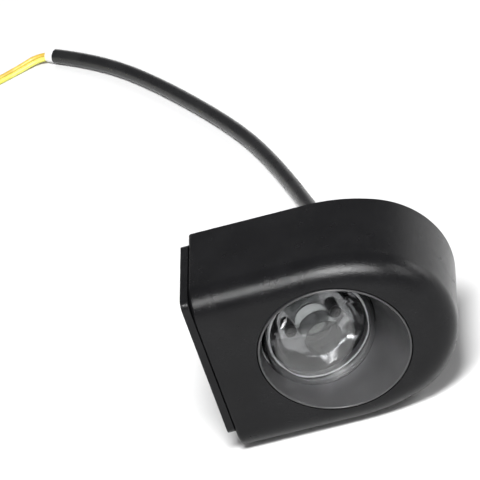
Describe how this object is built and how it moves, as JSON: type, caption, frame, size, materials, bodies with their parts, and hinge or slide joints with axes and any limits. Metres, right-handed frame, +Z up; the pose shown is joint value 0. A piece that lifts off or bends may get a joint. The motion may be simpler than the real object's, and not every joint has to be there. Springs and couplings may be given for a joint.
{
  "type": "motorcycle turn signal indicator",
  "caption": "Compact black D-shaped LED turn signal with a flat mounting end, a clear dome lens set at an angle in a dark funnel bezel, and a short lead with bullet terminals",
  "frame": {"origin": "bottom centre of the lamp's box, measured without the lead, on the flat lower side wall it stands on", "axes": "+Z up, lens and front face towards -Y, rounded nose towards +X, flat mounting end at -X, lead leaving towards +Y"},
  "size_m": [0.1796, 0.21, 0.048],
  "materials": {
    "black_plastic": "fine matt moulded texture",
    "bezel_plastic": "dark grey satin",
    "clear_lens": "clear polished polycarbonate",
    "reflector_chrome": "vacuum metallised",
    "led_package": "water-clear cap on a pale package",
    "board_black": "black solder mask",
    "board_green": "green solder mask",
    "sink_aluminium": "extruded, as machined",
    "seal_rubber": "soft black rubber",
    "screw_steel": "zinc plated",
    "screw_black": "black oxide",
    "insert_brass": "machined",
    "ferrite": "ferrite",
    "capacitor_can": "drawn can",
    "chip_epoxy": "moulded epoxy",
    "cable_jacket": "satin black jacket",
    "grommet_rubber": "moulded rubber",
    "insulation_yellow": "soft vinyl",
    "insulation_orange": "soft vinyl",
    "insulation_red": "soft vinyl",
    "insulation_black": "soft vinyl",
    "tie_nylon": "natural nylon",
    "terminal_metal": "tinned brass",
    "sleeve_vinyl": "clear vinyl",
    "liner_white": "pale inner jacket",
    "guide_clear": "clear polished acrylic",
    "led_ring_metal": "polished ring"
  },
  "bodies": {
    "root": {"back_cover": "black_plastic", "bezel": "bezel_plastic", "bezel_screws": "screw_steel", "board_screws": "screw_steel", "cable_grommet": "grommet_rubber", "cable_liner": "liner_white", "cable_sheath": "cable_jacket", "cable_tie": "tie_nylon", "capacitor": "capacitor_can", "cover_screws": "screw_black", "cover_seal": "seal_rubber", "diode": "chip_epoxy", "driver_board": "board_green", "driver_chip": "chip_epoxy", "feed_wire_orange": "insulation_orange", "feed_wire_yellow": "insulation_yellow", "heat_sink": "sink_aluminium", "housing": "black_plastic", "inductor": "ferrite", "led_board": "board_black", "led_emitter": "led_package", "led_ring": "led_ring_metal", "led_wire_black": "insulation_black", "led_wire_red": "insulation_red", "lens_dome": "clear_lens", "lens_seal": "seal_rubber", "light_guide": "guide_clear", "mount_inserts": "insert_brass", "mount_plate": "black_plastic", "plate_screws": "screw_black", "reflector": "reflector_chrome", "reflector_screws": "screw_black", "resistors": "chip_epoxy", "retainer_ring": "black_plastic", "retainer_screws": "screw_steel", "terminal_orange": "terminal_metal", "terminal_sleeve_orange": "sleeve_vinyl", "terminal_sleeve_yellow": "sleeve_vinyl", "terminal_yellow": "terminal_metal", "wire_orange": "insulation_orange", "wire_yellow": "insulation_yellow"}
  },
  "joints": []
}
